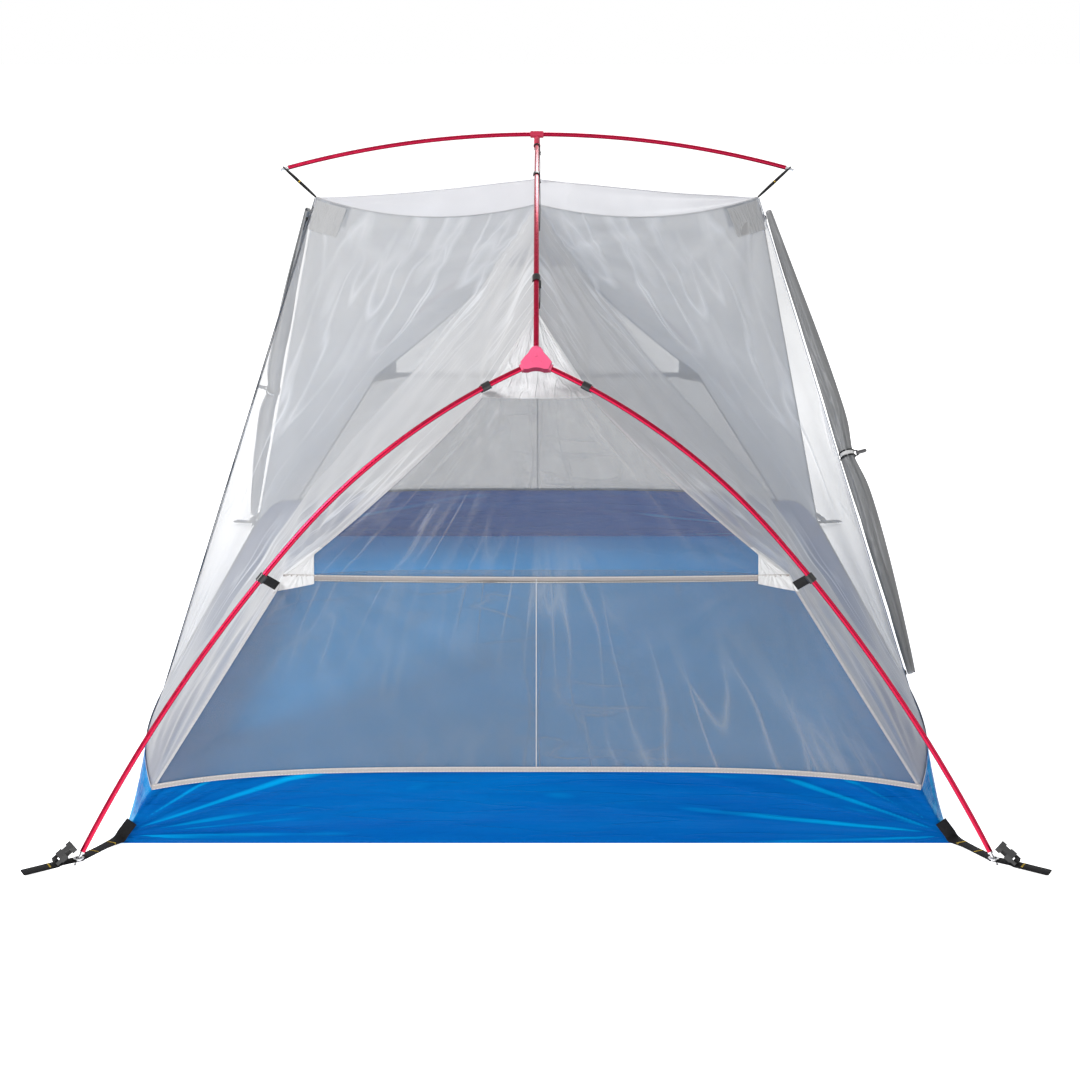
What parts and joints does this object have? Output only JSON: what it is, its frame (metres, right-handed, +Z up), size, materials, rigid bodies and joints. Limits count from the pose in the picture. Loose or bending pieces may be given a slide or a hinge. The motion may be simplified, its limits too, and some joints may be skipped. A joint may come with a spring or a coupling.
{
  "type": "freestanding tent",
  "caption": "Free-standing inner tent: bathtub floor, mesh walls and small roof hung by clips from a hubbed pole frame with a crossbar; side doors rolled open.",
  "frame": {"origin": "middle of the floor, on the ground", "axes": "+Y along the floor, +X across it through the doors, +Z up"},
  "size_m": [1.6004, 2.3902, 1.082],
  "materials": {
    "floor_cloth": "coated taffeta, satin sheen",
    "mesh": "fine translucent mesh",
    "roof_cloth": "plain woven cloth",
    "patch_cloth": "stiff coated cloth",
    "pole": "glossy anodised tube",
    "bare_metal": "turned, bright",
    "hub_plastic": "moulded",
    "black_plastic": "moulded",
    "clear_plastic": "moulded, milky",
    "webbing": "woven webbing",
    "zip_tape": "woven tape with a coil",
    "cord": "braided elastic"
  },
  "bodies": {
    "tent": {"floor": "floor_cloth", "near_end_wall": "mesh", "far_end_wall": "mesh", "near_left_wall": "mesh", "near_right_wall": "mesh", "far_left_wall": "mesh", "far_right_wall": "mesh", "roof_panel": "roof_cloth", "hub_patches": "patch_cloth", "corner_patches": "patch_cloth", "near_pocket": "mesh", "far_pocket": "mesh", "left_door_roll": "mesh", "right_door_roll": "mesh", "zip_tapes": "zip_tape", "door_ties": "webbing", "near_hub": "hub_plastic", "far_hub": "hub_plastic", "near_left_leg_upper": "pole", "near_right_leg_upper": "pole", "far_left_leg_upper": "pole", "far_right_leg_upper": "pole", "near_left_leg_lower": "pole", "near_right_leg_lower": "pole", "far_left_leg_lower": "pole", "far_right_leg_lower": "pole", "near_spine_outer": "pole", "near_spine_inner": "pole", "far_spine_inner": "pole", "far_spine_outer": "pole", "spine_saddle": "hub_plastic", "leg_tips": "bare_metal", "pole_ferrules": "bare_metal", "shock_cords": "cord", "corner_webbing": "webbing", "foot_grommets": "bare_metal", "pole_clips": "black_plastic", "clip_tabs": "webbing", "crossbar_straps": "webbing"},
    "crossbar": {"crossbar_left": "pole", "crossbar_right": "pole", "crossbar_saddle": "hub_plastic", "crossbar_tips": "bare_metal", "crossbar_ferrule": "bare_metal", "crossbar_cord": "cord", "crossbar_strap_ends": "webbing"},
    "left_edge_slider": {"left_edge_slider": "black_plastic"},
    "right_edge_slider": {"right_edge_slider": "black_plastic"},
    "left_sill_slider": {"left_sill_slider": "black_plastic"},
    "right_sill_slider": {"right_sill_slider": "black_plastic"},
    "left_edge_pull": {"left_edge_pull": "black_plastic"},
    "right_edge_pull": {"right_edge_pull": "black_plastic"},
    "left_sill_pull": {"left_sill_pull": "black_plastic"},
    "right_sill_pull": {"right_sill_pull": "black_plastic"},
    "left_toggle": {"left_toggle": "clear_plastic"},
    "right_toggle": {"right_toggle": "clear_plastic"},
    "near_left_buckle": {"near_left_buckle": "black_plastic"},
    "near_right_buckle": {"near_right_buckle": "black_plastic"},
    "far_left_buckle": {"far_left_buckle": "black_plastic"},
    "far_right_buckle": {"far_right_buckle": "black_plastic"}
  },
  "joints": [
    {"name": "crossbar_swivel", "type": "hinge", "parent": "tent", "child": "crossbar", "pos_m": [0, 0, 1.062], "axis": [0, 0, 1], "range_deg": [-4, 4]},
    {"name": "left_edge_slide", "type": "slide", "parent": "tent", "child": "left_edge_slider", "axis": [-0.2108, -0.6066, -0.7665], "range_m": [-0.02, 0.95]},
    {"name": "left_edge_pull_hinge", "type": "hinge", "parent": "left_edge_slider", "child": "left_edge_pull", "pos_m": [-0.45861, -0.01836, 0.91037], "axis": [-0.1609, 0.795, -0.5849], "range_deg": [0, 170]},
    {"name": "left_sill_slide", "type": "slide", "parent": "tent", "child": "left_sill_slider", "axis": [0, -1, 0], "range_m": [-0.015, 1.19]},
    {"name": "left_sill_pull_hinge", "type": "hinge", "parent": "left_sill_slider", "child": "left_sill_pull", "pos_m": [-0.66918, 0.59, 0.14482], "axis": [-0.2652, 0, -0.9642], "range_deg": [0, 170]},
    {"name": "left_toggle_swing", "type": "hinge", "parent": "tent", "child": "left_toggle", "pos_m": [-0.60352, 0.36042, 0.50582], "axis": [0.2108, -0.6066, 0.7665], "range_deg": [-85, 85]},
    {"name": "right_edge_slide", "type": "slide", "parent": "tent", "child": "right_edge_slider", "axis": [0.2108, 0.6066, -0.7665], "range_m": [-0.02, 0.95]},
    {"name": "right_edge_pull_hinge", "type": "hinge", "parent": "right_edge_slider", "child": "right_edge_pull", "pos_m": [0.45861, 0.01836, 0.91037], "axis": [0.1609, -0.795, -0.5849], "range_deg": [0, 170]},
    {"name": "right_sill_slide", "type": "slide", "parent": "tent", "child": "right_sill_slider", "axis": [0, 1, 0], "range_m": [-0.015, 1.19]},
    {"name": "right_sill_pull_hinge", "type": "hinge", "parent": "right_sill_slider", "child": "right_sill_pull", "pos_m": [0.66918, -0.59, 0.14482], "axis": [0.2652, 0, -0.9642], "range_deg": [0, 170]},
    {"name": "right_toggle_swing", "type": "hinge", "parent": "tent", "child": "right_toggle", "pos_m": [0.60352, -0.36042, 0.50582], "axis": [-0.2108, 0.6066, 0.7665], "range_deg": [-85, 85]},
    {"name": "near_left_buckle_hinge", "type": "hinge", "parent": "tent", "child": "near_left_buckle", "pos_m": [-0.752, -1.164, 0.016], "axis": [0.4841, -0.875, 0], "range_deg": [-25, 130]},
    {"name": "near_right_buckle_hinge", "type": "hinge", "parent": "tent", "child": "near_right_buckle", "pos_m": [0.752, -1.164, 0.016], "axis": [0.4841, 0.875, 0], "range_deg": [-25, 130]},
    {"name": "far_left_buckle_hinge", "type": "hinge", "parent": "tent", "child": "far_left_buckle", "pos_m": [-0.752, 1.164, 0.016], "axis": [-0.4841, -0.875, 0], "range_deg": [-25, 130]},
    {"name": "far_right_buckle_hinge", "type": "hinge", "parent": "tent", "child": "far_right_buckle", "pos_m": [0.752, 1.164, 0.016], "axis": [-0.4841, 0.875, 0], "range_deg": [-25, 130]}
  ]
}
